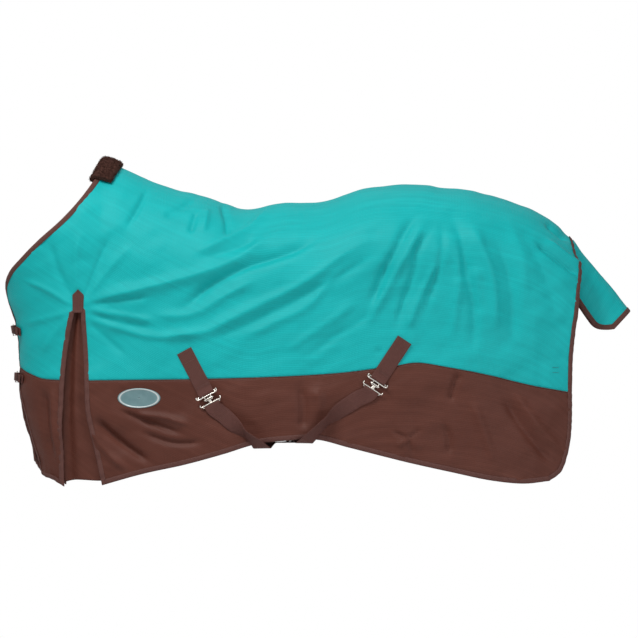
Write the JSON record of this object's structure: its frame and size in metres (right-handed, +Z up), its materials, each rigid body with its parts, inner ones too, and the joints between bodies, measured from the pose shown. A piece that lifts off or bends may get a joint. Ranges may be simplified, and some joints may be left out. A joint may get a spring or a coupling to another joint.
{
  "type": "turnout rug",
  "caption": "Horse's turnout rug as worn: teal shell with a brown lower band, chest buckles, crossed belly surcingles, shoulder gussets, a fleece wither pad and a tail flap.",
  "frame": {"origin": "on the horse's back, under the middle of the rug's spine seam", "axes": "+X from the head end to the tail, +Y to the off (right) side, +Z up"},
  "size_m": [1.9572, 0.6548, 1.0266],
  "materials": {
    "teal_cloth": "teal coated ripstop with fine weft ribs and a slight sheen",
    "brown_cloth": "dark brown coated ripstop, slight sheen",
    "brown_webbing": "dark reddish-brown ribbed webbing and binding tape",
    "lining": "smooth brown nylon lining over polyester fill",
    "fleece": "deep curly sherpa pile, dark brown",
    "steel": "nickel-plated steel, softly polished",
    "badge": "silver-grey oval patch, satin"
  },
  "bodies": {
    "rug": {"front_anchor_strap": "brown_webbing", "front_belly_strap": "brown_webbing", "front_off_patch": "brown_webbing", "lower_billet": "brown_webbing", "lower_buckle": "steel", "lower_chape": "brown_webbing", "lower_keeper": "brown_webbing", "near_dee_tab": "brown_webbing", "near_front_band": "brown_cloth", "near_front_binding": "brown_webbing", "near_gusset_insert": "brown_cloth", "near_gusset_tab": "brown_webbing", "near_lining": "lining", "near_rear_band": "brown_cloth", "near_side_binding": "brown_webbing", "near_upper_shell": "teal_cloth", "off_dee_tab": "brown_webbing", "off_front_band": "brown_cloth", "off_front_binding": "brown_webbing", "off_gusset_insert": "brown_cloth", "off_gusset_tab": "brown_webbing", "off_lining": "lining", "off_rear_band": "brown_cloth", "off_side_binding": "brown_webbing", "off_upper_shell": "teal_cloth", "oval_badge": "badge", "rear_anchor_strap": "brown_webbing", "rear_belly_strap": "brown_webbing", "rear_off_patch": "brown_webbing", "upper_billet": "brown_webbing", "upper_buckle": "steel", "upper_chape": "brown_webbing", "upper_keeper": "brown_webbing", "withers_fleece": "fleece"},
    "tail_flap": {"tail_flap": "teal_cloth", "tail_flap_binding": "brown_webbing"},
    "front_plate": {"front_slotted_plate": "steel"},
    "rear_plate": {"rear_slotted_plate": "steel"},
    "front_hook": {"front_t_hook": "steel"},
    "rear_hook": {"rear_t_hook": "steel"},
    "front_slide": {"front_slide": "steel"},
    "rear_slide": {"rear_slide": "steel"},
    "upper_tongue": {"upper_tongue": "steel"},
    "lower_tongue": {"lower_tongue": "steel"},
    "near_dee": {"near_dee": "steel"},
    "off_dee": {"off_dee": "steel"}
  },
  "joints": [
    {"name": "tail_flap_lift", "type": "hinge", "parent": "rug", "child": "tail_flap", "pos_m": [0.85426, 0, -0.10466], "axis": [0, -1, 0], "range_deg": [0, 80]},
    {"name": "front_plate_swing", "type": "hinge", "parent": "rug", "child": "front_plate", "pos_m": [-0.29007, -0.2966, -0.58444], "axis": [-0.8831, 0.073, -0.4635], "range_deg": [0, 4]},
    {"name": "front_hook_swing", "type": "hinge", "parent": "front_plate", "child": "front_hook", "pos_m": [-0.28244, -0.29723, -0.59906], "axis": [-0.8831, 0.073, -0.4635], "range_deg": [-8, 0]},
    {"name": "front_slide_travel", "type": "slide", "parent": "rug", "child": "front_slide", "axis": [0.2344, 0.9721, 0], "range_m": [-0.03, 0.03]},
    {"name": "rear_plate_swing", "type": "hinge", "parent": "rug", "child": "rear_plate", "pos_m": [0.24125, -0.32261, -0.54263], "axis": [-0.8336, 0.0086, 0.5523], "range_deg": [0, 4]},
    {"name": "rear_hook_swing", "type": "hinge", "parent": "rear_plate", "child": "rear_hook", "pos_m": [0.23214, -0.32251, -0.55639], "axis": [-0.8336, 0.0086, 0.5523], "range_deg": [-8, 0]},
    {"name": "rear_slide_travel", "type": "slide", "parent": "rug", "child": "rear_slide", "axis": [-0.2344, 0.9721, 0], "range_m": [-0.03, 0.03]},
    {"name": "upper_tongue_swing", "type": "hinge", "parent": "rug", "child": "upper_tongue", "pos_m": [-0.89481, -0.014, -0.38497], "axis": [-0.1647, 0, 0.9863], "range_deg": [0, 12]},
    {"name": "lower_tongue_swing", "type": "hinge", "parent": "rug", "child": "lower_tongue", "pos_m": [-0.88564, -0.014, -0.53253], "axis": [0.0501, 0, 0.9987], "range_deg": [0, 12]},
    {"name": "near_dee_swing", "type": "hinge", "parent": "rug", "child": "near_dee", "pos_m": [0.78876, -0.21266, -0.53741], "axis": [0.9156, 0.4021, 0], "range_deg": [0, 80]},
    {"name": "off_dee_swing", "type": "hinge", "parent": "rug", "child": "off_dee", "pos_m": [0.78876, 0.21266, -0.53741], "axis": [-0.9156, 0.4021, 0], "range_deg": [0, 80]}
  ],
  "couplings": [
    {"joint": "front_hook_swing", "follows": "front_plate_swing", "ratio": -2},
    {"joint": "rear_hook_swing", "follows": "rear_plate_swing", "ratio": -2}
  ]
}
